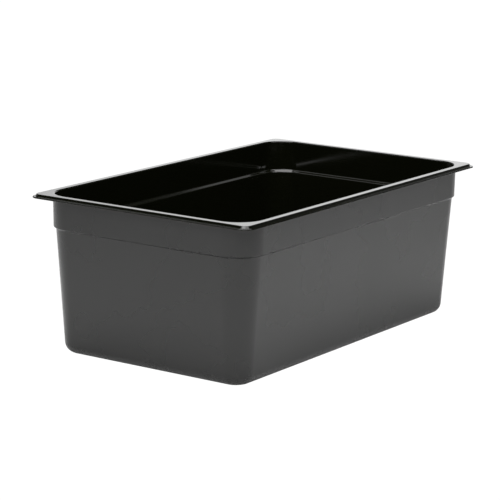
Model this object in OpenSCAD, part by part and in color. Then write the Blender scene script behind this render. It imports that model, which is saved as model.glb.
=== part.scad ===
// Full-size gastronorm food pan, one moulding: a drafted well with a stacking collar
// round its top, and a stepped flange that hangs the pan in a counter cut-out.
// Millimetres. +X runs along the length and +Z is up. The origin is the middle of the base.

/* [Overall size] */
// Length over the flange
pan_length = 530; // [400:5:600]
// Width over the flange
pan_width = 325; // [260:5:400]
// Height from the base to the top of the rim
pan_height = 200; // [120:5:250]

/* [Flange] */
// Corner radius of the flange's outer edge
flange_corner_r = 14; // [8:1:20]
// Thickness of the low lip at the flange's outer edge
lip_t = 1.7; // [1.5:0.1:2.5]
// Width of the low ledge outside the raised rim
ledge_w = 4.3; // [3:0.1:5]
// Height of the raised rim above the ledge
ledge_drop = 3; // [2.5:0.1:4]
// Corner radius of the raised rim's outer edge
rim_corner_r = 10; // [6:1:16]

/* [Collar] */
// Distance from the flange's outer edge to the collar's outer face at its top
collar_inset = 10.3; // [9.5:0.1:11]
// Inward draft of the collar's outer face over its depth
collar_draft = 0.6; // [0.3:0.1:0.8]
// Depth of the collar's lower edge below the top of the rim
collar_depth = 40.8; // [30:0.2:60]
// Radius of the rim's inner edge
mouth_r = 1.2; // [0.6:0.1:1.2]

/* [Shoulder] */
// Inward step of the stacking shoulder
shoulder_step = 3.1; // [1.5:0.1:4]
// Height of the stacking shoulder's slope
shoulder_h = 2.7; // [2:0.1:4]

/* [Well] */
// Distance from the flange's outer edge to the wall's outer face, at the level of the base
base_inset = 25; // [22:0.5:28]
// Thickness of the walls and the floor
wall_t = 3.2; // [2.6:0.1:3.6]
// Radius of the outer fillet between the walls and the base
base_fillet_r = 14; // [8:0.5:16]
// Distance from the flange's outer edge to the upright axis of each rounded corner
corner_axis_inset = 49; // [48:0.5:56]

/* [Hidden] */

$fn = 96;
fillet_steps = 8;

// How far the raised rim's plate runs down below the ledge, to join the lip
rim_overlap = 0.2;

// Half the distance between neighbouring corner axes
axis_x = pan_length / 2 - corner_axis_inset;
axis_y = pan_width / 2 - corner_axis_inset;

// Levels of the collar's lower edge, the shoulder's foot and the flange's faces
collar_z = pan_height - collar_depth;
shoulder_z = collar_z - shoulder_h;
ledge_z = pan_height - ledge_drop;
lip_z = ledge_z - lip_t;
rim_z = ledge_z - rim_overlap;

// The lip's inner edge lies a wall's thickness inside the raised rim's outer edge. Inside it
// the flange's underside is hollow, up to the raised rim's plate.
lip_foot_inset = ledge_w + wall_t;
lip_foot_r = rim_corner_r - wall_t;

// Insets of the outer face at the collar's lower edge and at the shoulder's foot
collar_foot_inset = collar_inset + collar_draft;
wall_top_inset = collar_foot_inset + shoulder_step;

// Lean of the well's outer face from upright, in degrees
wall_lean = atan((base_inset - wall_top_inset) / shoulder_z);

// The shoulder's inner face lies a wall's thickness inside the outer one, so it sits higher
shoulder_rise = wall_t * tan((90 - atan(shoulder_h / shoulder_step)) / 2);

// Radius from the corner axis of a face at this inset
function reach(inset) = corner_axis_inset - inset;

// Points of an arc about a centre from one angle to another
function arc(centre, r, from, to, steps) =
    [for (i = [0 : steps]) let (a = from + (to - from) * i / steps)
        [centre[0] + r * cos(a), centre[1] + r * sin(a)]];

// Centre of a fillet of radius r that touches the level z and a leaning face of given inset
function fillet_centre(z, face_inset, r) =
    [reach(face_inset) + (z + r) * tan(wall_lean) - r / cos(wall_lean), z + r];

// Section through the wall from the corner axis outwards, [radius, height]
wall_section = concat(
    [[0, 0]],
    arc(fillet_centre(0, base_inset, base_fillet_r), base_fillet_r, -90, -wall_lean, fillet_steps),
    [
        [reach(wall_top_inset), shoulder_z],
        [reach(collar_foot_inset), collar_z],
        [reach(collar_inset), rim_z],
        [reach(collar_inset), pan_height]
    ],
    arc([reach(collar_inset + wall_t) + mouth_r, pan_height - mouth_r], mouth_r, 90, 180, fillet_steps),
    [
        [reach(collar_foot_inset + wall_t), collar_z + shoulder_rise],
        [reach(wall_top_inset + wall_t), shoulder_z + shoulder_rise]
    ],
    arc(
        fillet_centre(wall_t, base_inset + wall_t / cos(wall_lean), base_fillet_r - wall_t),
        base_fillet_r - wall_t, -wall_lean, -90, fillet_steps
    ),
    [[0, wall_t]]
);

// Rectangle with rounded corners, set in from the flange's outer edge
module rounded_outline(inset, r) {
    x = pan_length / 2 - inset;
    y = pan_width / 2 - inset;
    square([2 * (x - r), 2 * y], center = true);
    square([2 * x, 2 * (y - r)], center = true);
    for (sx = [-1, 1], sy = [-1, 1]) {
        translate([sx * (x - r), sy * (y - r)]) circle(r);
    }
}

// Ring between two rounded outlines, from level z up to level top
module flange_ring(z, top, outer_inset, outer_r, inner_inset, inner_r) {
    translate([0, 0, z]) {
        linear_extrude(top - z) {
            difference() {
                rounded_outline(outer_inset, outer_r);
                rounded_outline(inner_inset, inner_r);
            }
        }
    }
}

// One rounded corner of the well, turned a quarter about its axis
module well_corner() {
    rotate_extrude(angle = 90) polygon(wall_section);
}

// One straight side of the well between two corner axes, its outer face towards +X
module well_side(length) {
    rotate([90, 0, 0]) linear_extrude(length, center = true) polygon(wall_section);
}

// The whole well: four corners, four sides and the flat floor between them
module well() {
    translate([axis_x, axis_y, 0]) well_corner();
    translate([-axis_x, axis_y, 0]) rotate(90) well_corner();
    translate([-axis_x, -axis_y, 0]) rotate(180) well_corner();
    translate([axis_x, -axis_y, 0]) rotate(270) well_corner();
    for (turn = [0, 180]) {
        rotate(turn) translate([axis_x, 0, 0]) well_side(2 * axis_y);
        rotate(turn + 90) translate([axis_y, 0, 0]) well_side(2 * axis_x);
    }
    translate([-axis_x, -axis_y, 0]) cube([2 * axis_x, 2 * axis_y, wall_t]);
}

// The flange: a raised rim that starts inside the wall and, round it, a lower lip
module flange() {
    rim_inner_inset = collar_inset + wall_t / 2;
    flange_ring(rim_z, pan_height, ledge_w, rim_corner_r, rim_inner_inset, reach(rim_inner_inset));
    flange_ring(lip_z, ledge_z, 0, flange_corner_r, lip_foot_inset, lip_foot_r);
}

module pan() {
    color([0.09, 0.09, 0.09]) {
        union() {
            well();
            flange();
        }
    }
}

pan();
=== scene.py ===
"""Looks of the deli food pan: one black moulded pan on a pale floor in soft studio light.

Metres, in the frame of the CAD: +X along the pan, +Z up, origin in the middle of its base.
"""

import math

import bmesh
import bpy
from mathutils import Matrix, Vector


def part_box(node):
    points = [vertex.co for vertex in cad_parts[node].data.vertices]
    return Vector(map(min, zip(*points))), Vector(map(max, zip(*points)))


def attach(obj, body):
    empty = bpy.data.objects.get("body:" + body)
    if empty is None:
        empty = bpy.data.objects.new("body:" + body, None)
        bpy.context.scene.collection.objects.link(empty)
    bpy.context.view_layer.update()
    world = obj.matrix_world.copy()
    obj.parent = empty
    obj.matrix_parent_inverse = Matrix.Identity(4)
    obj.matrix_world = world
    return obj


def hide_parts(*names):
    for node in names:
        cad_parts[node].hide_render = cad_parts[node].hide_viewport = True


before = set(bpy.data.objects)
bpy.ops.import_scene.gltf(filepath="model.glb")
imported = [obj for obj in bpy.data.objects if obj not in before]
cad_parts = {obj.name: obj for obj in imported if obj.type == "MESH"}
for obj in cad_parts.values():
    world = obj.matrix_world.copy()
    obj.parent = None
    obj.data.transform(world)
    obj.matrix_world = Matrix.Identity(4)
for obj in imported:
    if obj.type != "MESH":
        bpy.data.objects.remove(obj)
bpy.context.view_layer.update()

MM = 0.001

# The pan's own box, from the CAD
LOW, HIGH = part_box("pan")
HALF_LENGTH = (HIGH.x - LOW.x) / 2
HALF_WIDTH = (HIGH.y - LOW.y) / 2
RIM_Z = HIGH.z

# How the wall's section is laid out. An inset is a distance in from the flange's outer edge.
# The well: its walls, the upright axes of its rounded corners and its base
WALL = 3.2 * MM
CORNER_AXIS = 49 * MM
BASE_INSET = 25 * MM
BASE_FILLET_R = 14 * MM
# The shoulder and the collar. The shoulder's inner face sits a little higher than its outer one.
WALL_TOP_INSET = 14.0 * MM
COLLAR_FOOT_INSET = 10.9 * MM
COLLAR_INSET = 10.3 * MM
COLLAR_FOOT_Z = RIM_Z - 40.8 * MM
SHOULDER_Z = RIM_Z - 43.5 * MM
SHOULDER_RISE = 1.14 * MM
# The hollow under the flange
RECESS_INSET = 7.5 * MM
RECESS_R = 6.8 * MM
RECESS_Z = RIM_Z - 3.2 * MM
# The flange: its thin lip, the ledge on top of it, the raised rim's drop and the mouth
LIP_R = 14.0 * MM
LIP_LEAN = 0.35 * MM
LIP_Z = RIM_Z - 4.7 * MM
LEDGE_Z = RIM_Z - 3.0 * MM
DROP_FOOT_INSET = 3.6 * MM
DROP_FOOT_R = 10.4 * MM
RIM_INSET = 5.0 * MM
RIM_R = 9.0 * MM
MOUTH_R = 33.5 * MM

# How finely the mesh is divided
CORNER_STEPS = 24
LENGTH_STEPS = 36
WIDTH_STEPS = 20
ROW_STEP = 12 * MM

# Which finish a stretch of the section has
SATIN, POLISHED = 0, 1

# The plastic's colours and its refractive index, and plain white
SATIN_BLACK = (0.0120, 0.0122, 0.0116, 1.0)
SCUFFED_BLACK = (0.060, 0.060, 0.058, 1.0)
# Darker than the satin black: partly the plastic's own black, partly painted shade for the inside of the
# well
POLISHED_BLACK_AND_WELL_SHADE = (0.0028, 0.0032, 0.0013, 1.0)
PLASTIC_IOR = 1.5
WHITE = (1.0, 1.0, 1.0, 1.0)


# ---------------------------------------------------------------- the section and its mesh

def concentric(inset):
    """Corner radius of an outline whose rounded corners share the well's upright axes."""
    return CORNER_AXIS - inset


def wall_section():
    """The turns of the wall's section, from the base's underside up the outside and down the inside.

    Each turn is (inset, height, corner radius of the outline there, radius that rounds the turn,
    steps in that rounding, finish of the faces after it, wear).
    """
    lean = (BASE_INSET - WALL_TOP_INSET) / SHOULDER_Z
    thick = WALL * math.sqrt(1 + lean * lean)
    floor_inset = BASE_INSET - WALL * lean + thick
    inner_top = WALL_TOP_INSET + WALL
    inner_collar = COLLAR_FOOT_INSET + WALL
    mouth = COLLAR_INSET + WALL
    return [
        (BASE_INSET, 0.0, concentric(BASE_INSET), BASE_FILLET_R, 12, SATIN, 0.55),
        (WALL_TOP_INSET, SHOULDER_Z, concentric(WALL_TOP_INSET), 1.0 * MM, 4, SATIN, 0.0),
        (COLLAR_FOOT_INSET, COLLAR_FOOT_Z, concentric(COLLAR_FOOT_INSET), 0.5 * MM, 4, SATIN, 0.06),
        (COLLAR_INSET, RECESS_Z, concentric(COLLAR_INSET), 1.1 * MM, 4, SATIN, 0.0),
        (RECESS_INSET, RECESS_Z, RECESS_R, 0.4 * MM, 3, SATIN, 0.0),
        (RECESS_INSET, LIP_Z, RECESS_R, 0.4 * MM, 3, SATIN, 0.3),
        (0.0, LIP_Z, LIP_R, 0.35 * MM, 4, POLISHED, 0.8),
        (LIP_LEAN, LEDGE_Z, LIP_R - LIP_LEAN, 0.9 * MM, 5, POLISHED, 1.0),
        (DROP_FOOT_INSET, LEDGE_Z, DROP_FOOT_R, 0.5 * MM, 4, POLISHED, 0.0),
        (RIM_INSET, RIM_Z, RIM_R, 0.4 * MM, 5, POLISHED, 0.9),
        (mouth, RIM_Z, MOUTH_R, 1.5 * MM, 6, POLISHED, 0.4),
        (inner_collar, COLLAR_FOOT_Z + SHOULDER_RISE, concentric(inner_collar), 2.4 * MM, 5, POLISHED, 0.0),
        (inner_top, SHOULDER_Z + SHOULDER_RISE, concentric(inner_top), 2.2 * MM, 5, POLISHED, 0.3),
        (floor_inset, WALL, concentric(floor_inset), BASE_FILLET_R - WALL, 10, POLISHED, 0.0),
    ]


def rounded_turn(before, turn, after):
    """Rows of an arc that rounds one turn of the section, as (inset, height, corner radius, wear)."""
    inset, height, outline_r, rounding, steps, _, wear = turn
    here = Vector((inset, height))
    to_before = (Vector(before) - here).normalized()
    to_after = (Vector(after) - here).normalized()
    half = to_before.angle(to_after) / 2
    centre = here + (to_before + to_after).normalized() * (rounding / math.sin(half))
    start = here + to_before * (rounding / math.tan(half)) - centre
    sweep = start.angle_signed(here + to_after * (rounding / math.tan(half)) - centre)
    rows = []
    for step in range(steps + 1):
        share = step / steps
        point = centre + Matrix.Rotation(-sweep * share, 2) @ start
        rows.append((point.x, point.y, outline_r + inset - point.x, wear * math.sin(math.pi * share)))
    return rows


def section_rows():
    """Every row of the section with the finish of the faces that follow it."""
    turns = wall_section()
    path = [(turn[0], turn[1]) for turn in turns]
    path = [(CORNER_AXIS, 0.0)] + path + [(CORNER_AXIS, WALL)]
    rows = []
    for index, turn in enumerate(turns):
        arc = rounded_turn(path[index], turn, path[index + 2])
        if rows:
            rows += straight_rows(rows[-1], arc[0])
        for row in arc:
            rows.append((*row, turn[5]))
    return rows


def straight_rows(start, end):
    """Rows between two turns, so that a long wall is divided evenly."""
    length = math.hypot(end[0] - start[0], end[1] - start[1])
    steps = max(1, round(length / ROW_STEP))
    rows = []
    for step in range(1, steps):
        share = step / steps
        mixed = [a + (b - a) * share for a, b in zip(start[:3], end[:3])]
        rows.append((*mixed, 0.0, start[4]))
    return rows


def outline(inset, height, radius):
    """Points round one row of the pan, starting at the middle of the +X +Y corner's arc."""
    x = HALF_LENGTH - inset - radius
    y = HALF_WIDTH - inset - radius
    corners = [(x, y, 0), (-x, y, 90), (-x, -y, 180), (x, -y, 270)]
    points = []
    for index, (cx, cy, from_angle) in enumerate(corners):
        for step in range(CORNER_STEPS + 1):
            angle = math.radians(from_angle + 90 * step / CORNER_STEPS)
            points.append(Vector((cx + radius * math.cos(angle), cy + radius * math.sin(angle), height)))
        following = corners[(index + 1) % 4]
        steps = LENGTH_STEPS if index % 2 == 0 else WIDTH_STEPS
        angle = math.radians(from_angle + 90)
        end_x = following[0] + radius * math.cos(angle)
        end_y = following[1] + radius * math.sin(angle)
        start = points[-1]
        end = Vector((end_x, end_y, height))
        for step in range(1, steps):
            points.append(start.lerp(end, step / steps))
    half = CORNER_STEPS // 2
    return points[half:] + points[:half]


def fill_flat(bm, ring, finish):
    """Fills a flat rounded rectangle with an even grid of four-sided faces."""
    across = CORNER_STEPS + LENGTH_STEPS
    along = CORNER_STEPS + WIDTH_STEPS
    top = ring[:across + 1]
    left = ring[across:across + along + 1]
    bottom = ring[across + along:2 * across + along + 1]
    right = ring[2 * across + along:] + ring[:1]
    grid = []
    for j in range(along + 1):
        v = j / along
        row = []
        for i in range(across + 1):
            if j == 0:
                row.append(top[i])
            elif j == along:
                row.append(bottom[across - i])
            elif i == 0:
                row.append(right[along - j])
            elif i == across:
                row.append(left[j])
            else:
                u = i / across
                edges = top[i].co * (1 - v) + bottom[across - i].co * v
                edges += right[along - j].co * (1 - u) + left[j].co * u
                tips = top[0].co * (1 - u) * (1 - v) + top[across].co * u * (1 - v)
                tips += bottom[across].co * (1 - u) * v + bottom[0].co * u * v
                row.append(bm.verts.new(edges - tips))
        grid.append(row)
    for j in range(along):
        for i in range(across):
            face = bm.faces.new((grid[j][i], grid[j][i + 1], grid[j + 1][i + 1], grid[j + 1][i]))
            face.material_index = finish


def pan_mesh():
    """The whole pan as one closed mesh of four-sided faces."""
    bm = bmesh.new()
    wear_layer = bm.verts.layers.float.new("wear")
    rows = section_rows()
    rings = []
    for inset, height, radius, wear, _ in rows:
        ring = [bm.verts.new(point) for point in outline(inset, height, radius)]
        for vert in ring:
            vert[wear_layer] = wear
        rings.append(ring)
    count = len(rings[0])
    for index, (lower, upper) in enumerate(zip(rings, rings[1:])):
        for k in range(count):
            following = (k + 1) % count
            face = bm.faces.new((lower[k], lower[following], upper[following], upper[k]))
            face.material_index = rows[index][4]
    fill_flat(bm, rings[0], SATIN)
    fill_flat(bm, rings[-1], POLISHED)
    bmesh.ops.recalc_face_normals(bm, faces=bm.faces)
    for face in bm.faces:
        face.smooth = True
    mesh = bpy.data.meshes.new("pan_moulding")
    bm.to_mesh(mesh)
    bm.free()
    return mesh


# ---------------------------------------------------------------- materials

class Nodes:
    """Short names for making and joining the nodes of one material or world."""

    def __init__(self, tree):
        self.tree = tree

    def make(self, kind, inputs=(), **settings):
        node = self.tree.nodes.new(kind)
        for name, value in settings.items():
            setattr(node, name, value)
        for name, value in dict(inputs).items():
            self.put(node.inputs[name], value)
        return node

    def put(self, socket, value):
        if isinstance(value, bpy.types.NodeSocket):
            self.tree.links.new(value, socket)
        else:
            socket.default_value = value

    def math(self, operation, first, second):
        node = self.make("ShaderNodeMath", operation=operation)
        self.put(node.inputs[0], first)
        self.put(node.inputs[1], second)
        return node.outputs[0]

    def noise(self, vector, scale, detail=2.0, roughness=0.5):
        inputs = {"Vector": vector, "Scale": scale, "Detail": detail, "Roughness": roughness}
        return self.make("ShaderNodeTexNoise", inputs).outputs["Fac"]

    def vector_math(self, operation, first, second=(0.0, 0.0, 0.0), output="Vector"):
        node = self.make("ShaderNodeVectorMath", operation=operation)
        self.put(node.inputs[0], first)
        self.put(node.inputs[1], second)
        return node.outputs[output]

    def facing(self, direction, azimuth):
        """Cosine of the angle, seen from above, between a direction and an azimuth from +X."""
        level = self.vector_math("NORMALIZE", self.vector_math("MULTIPLY", direction, (1.0, 1.0, 0.0)))
        angle = math.radians(azimuth)
        return self.vector_math("DOT_PRODUCT", level, (math.cos(angle), math.sin(angle), 0.0), "Value")

    def spread(self, value, low, high, to_low, to_high):
        inputs = {"Value": value, "From Min": low, "From Max": high, "To Min": to_low, "To Max": to_high}
        return self.make("ShaderNodeMapRange", inputs, interpolation_type="SMOOTHSTEP").outputs["Result"]

    def band(self, value, low, full, still_full, high):
        """1 from full to still_full, falling smoothly to 0 at low and at high."""
        rising = self.spread(value, low, full, 0.0, 1.0)
        falling = self.spread(value, still_full, high, 1.0, 0.0)
        return self.math("MULTIPLY", rising, falling)

    def stretched(self, vector, scale, turn=(0.0, 0.0, 0.0)):
        inputs = {"Vector": vector, "Scale": scale, "Rotation": turn}
        return self.make("ShaderNodeMapping", inputs).outputs["Vector"]


def new_material(name):
    material = bpy.data.materials.new(name)
    material.use_nodes = True
    nodes = Nodes(material.node_tree)
    shader = material.node_tree.nodes["Principled BSDF"]
    place = nodes.make("ShaderNodeTexCoord").outputs["Object"]
    return material, nodes, shader, place


def scratches(nodes, place, spacing, turn, cut):
    """Fine straight hairlines: 0 between them, up to 1 on them."""
    length_ratio = 60
    soft_edge = 0.06
    across = 1 / spacing
    along = across / length_ratio
    lines = nodes.stretched(place, (across, along, along), turn)
    return nodes.spread(nodes.noise(lines, 1.0, 1.0), cut, cut + soft_edge, 0.0, 1.0)


def satin_plastic():
    """The outside: black polycarbonate with a fine spark-eroded grain, scuffed on its proud edges."""
    material, nodes, shader, place = new_material("pan_satin_plastic")
    cloud = nodes.noise(place, 9.0, 3.0)
    grain = nodes.noise(place, 1500.0, 2.0, 0.6)
    scuff = nodes.noise(nodes.stretched(place, (1.0, 1.0, 3.0)), 160.0, 4.0, 0.65)
    wear = nodes.make("ShaderNodeAttribute", attribute_name="wear").outputs["Fac"]
    worn = nodes.math("MULTIPLY", wear, nodes.spread(scuff, 0.45, 0.75, 0.0, 1.0))
    colour = nodes.make("ShaderNodeMix", data_type="RGBA")
    nodes.put(colour.inputs["Factor"], nodes.math("MULTIPLY", worn, 0.5))
    nodes.put(colour.inputs["A"], SATIN_BLACK)
    nodes.put(colour.inputs["B"], SCUFFED_BLACK)
    nodes.put(shader.inputs["Base Color"], colour.outputs["Result"])
    rough = nodes.math("ADD", nodes.spread(cloud, 0.3, 0.7, 0.24, 0.29), nodes.math("MULTIPLY", worn, 0.2))
    nodes.put(shader.inputs["Roughness"], rough)
    shader.inputs["IOR"].default_value = PLASTIC_IOR
    bump = nodes.make("ShaderNodeBump", {"Height": grain, "Strength": 0.25, "Distance": 0.00004})
    nodes.put(shader.inputs["Normal"], bump.outputs["Normal"])
    return material


def polished_plastic():
    """The inside and the rim: the same plastic off a polished mould, with faint hairlines. Its black is set
    darker than the outside's, partly the plastic's own colour and partly painted shade that darkens the
    inside of the well.
    """
    material, nodes, shader, place = new_material("pan_polished_plastic_and_well_shade")
    cloud = nodes.noise(place, 14.0, 3.0)
    hair = scratches(nodes, place, 0.0011, (0.0, 0.0, 0.3), 0.66)
    wear = nodes.make("ShaderNodeAttribute", attribute_name="wear").outputs["Fac"]
    # Painted shade: this darker black darkens the inside of the well, and it covers the rim as well
    shader.inputs["Base Color"].default_value = POLISHED_BLACK_AND_WELL_SHADE
    rough = nodes.math("ADD", nodes.spread(cloud, 0.3, 0.7, 0.07, 0.12), nodes.math("MULTIPLY", wear, 0.08))
    nodes.put(shader.inputs["Roughness"], rough)
    shader.inputs["IOR"].default_value = PLASTIC_IOR
    bump = nodes.make("ShaderNodeBump", {"Height": hair, "Strength": 0.1, "Distance": 0.00002})
    nodes.put(shader.inputs["Normal"], bump.outputs["Normal"])
    return material


# ---------------------------------------------------------------- the pan

def build_pan():
    mesh = pan_mesh()
    mesh.materials.append(satin_plastic())
    mesh.materials.append(polished_plastic())
    pan = bpy.data.objects.new("pan_moulding", mesh)
    bpy.context.scene.collection.objects.link(pan)
    even = pan.modifiers.new("even_normals", "WEIGHTED_NORMAL")
    even.mode = "FACE_AREA"
    even.weight = 50
    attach(pan, "root")
    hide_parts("pan")


# ---------------------------------------------------------------- stage, light and camera

def pale_floor():
    """A wide pale floor, just under the pan's base. Seen directly, it's washed out to plain white."""
    half = 12.0
    level = -0.2 * MM
    mesh = bpy.data.meshes.new("floor")
    corners = [(-half, -half, level), (half, -half, level), (half, half, level), (-half, half, level)]
    mesh.from_pydata(corners, [], [(0, 1, 2, 3)])
    floor = bpy.data.objects.new("floor", mesh)
    bpy.context.scene.collection.objects.link(floor)
    material = bpy.data.materials.new("floor_paper")
    material.use_nodes = True
    nodes = Nodes(material.node_tree)
    paper = material.node_tree.nodes["Principled BSDF"]
    paper.inputs["Base Color"].default_value = (0.86, 0.86, 0.86, 1.0)
    paper.inputs["Roughness"].default_value = 0.9
    paper.inputs["Specular IOR Level"].default_value = 0.0
    washed_out = nodes.make("ShaderNodeEmission", {"Color": WHITE, "Strength": 1.05})
    directly_seen = nodes.make("ShaderNodeLightPath").outputs["Is Camera Ray"]
    surface = nodes.make("ShaderNodeMixShader", {"Fac": directly_seen})
    nodes.put(surface.inputs[1], paper.outputs["BSDF"])
    nodes.put(surface.inputs[2], washed_out.outputs["Emission"])
    nodes.put(material.node_tree.nodes["Material Output"].inputs["Surface"], surface.outputs["Shader"])
    mesh.materials.append(material)


def studio_world():
    """The room round the stage: a low glow all round, and two soft lights higher up.

    The glow is dim but for a backdrop behind the pan. The wide bank is behind the camera, and the
    window is on its left. Each is bounded by its azimuth and by height, the sine of the elevation.
    """
    world = bpy.data.worlds.new("studio")
    bpy.context.scene.world = world
    world.use_nodes = True
    tree = world.node_tree
    nodes = Nodes(tree)
    direction = nodes.make("ShaderNodeTexCoord").outputs["Generated"]
    height = nodes.make("ShaderNodeSeparateXYZ", {"Vector": direction}).outputs["Z"]
    backdrop = nodes.spread(nodes.facing(direction, 15), 0.8, 0.95, 0.0, 1.5)
    left_side = nodes.spread(nodes.facing(direction, 115), 0.2, 0.7, 0.12, 0.35)
    fade_up = nodes.spread(height, 0.24, 0.38, 1.0, 0.05)
    low_down = nodes.math("MULTIPLY", nodes.math("ADD", backdrop, left_side), fade_up)
    wide_bank = nodes.math(
        "MULTIPLY",
        nodes.spread(nodes.facing(direction, 222), 0.5, 0.75, 0.0, 4.0),
        nodes.band(height, 0.48, 0.56, 0.68, 0.76),
    )
    window = nodes.math(
        "MULTIPLY",
        nodes.spread(nodes.facing(direction, 125), 0.82, 0.94, 0.0, 2.8),
        nodes.band(height, 0.62, 0.68, 0.74, 0.8),
    )
    level = nodes.math("ADD", low_down, nodes.math("ADD", wide_bank, window))
    background = tree.nodes["Background"]
    nodes.put(background.inputs["Strength"], level)
    background.inputs["Color"].default_value = WHITE


def soft_box(name, place, aim, width, height, radiance):
    """A rectangular soft box whose face has about this radiance."""
    light = bpy.data.lights.new(name, "AREA")
    light.shape = "RECTANGLE"
    light.size = width
    light.size_y = height
    light.energy = radiance * math.pi * width * height
    lamp = bpy.data.objects.new(name, light)
    lamp.location = place
    lamp.rotation_mode = "QUATERNION"
    lamp.rotation_quaternion = (Vector(aim) - Vector(place)).to_track_quat("-Z", "Y")
    lamp.visible_camera = False
    bpy.context.scene.collection.objects.link(lamp)


def studio_lights():
    """Three boxes over the pan and round it face straight down. A dim one at the right faces the pan."""
    soft_box("overhead_box", (0.0, 0.05, 1.3), (0.0, 0.05, 0.0), width=1.0, height=1.0, radiance=5.1)
    soft_box("left_box", (-1.4, -0.25, 1.3), (-1.4, -0.25, 0.0), width=0.8, height=1.7, radiance=3.3)
    soft_box("right_box", (1.5, -0.12, 1.0), (0.0, 0.0, 0.15), width=0.5, height=0.4, radiance=0.6)
    soft_box("front_box", (0.05, -1.3, 1.3), (0.05, -1.3, 0.0), width=0.6, height=0.5, radiance=6.5)


def main_camera():
    """The camera stands left of and above the pan, with a long lens and a slight roll."""
    yaw = math.radians(55.34)
    pitch = math.radians(-12.475)
    roll = math.radians(0.76)
    forward = Vector((math.cos(pitch) * math.sin(yaw), math.cos(pitch) * math.cos(yaw), math.sin(pitch)))
    right = Vector((math.cos(yaw), -math.sin(yaw), 0.0))
    up = right.cross(forward)
    rolled_right = right * math.cos(roll) + up * math.sin(roll)
    rolled_up = up * math.cos(roll) - right * math.sin(roll)
    data = bpy.data.cameras.new("camera")
    data.sensor_width = 36.0
    data.lens = 157.32
    camera = bpy.data.objects.new("camera", data)
    turn = Matrix((rolled_right, rolled_up, -forward)).transposed()
    camera.rotation_mode = "QUATERNION"
    camera.rotation_quaternion = turn.to_quaternion()
    camera.location = (-2.2469, -1.5360, 0.7082)
    bpy.context.scene.collection.objects.link(camera)
    bpy.context.scene.camera = camera


def plain_view():
    """Shows light as it is, with no film curve."""
    view = bpy.context.scene.view_settings
    view.view_transform = "Standard"
    view.look = "None"
    view.exposure = 0.0
    view.gamma = 1.0


build_pan()
pale_floor()
studio_world()
studio_lights()
main_camera()
plain_view()
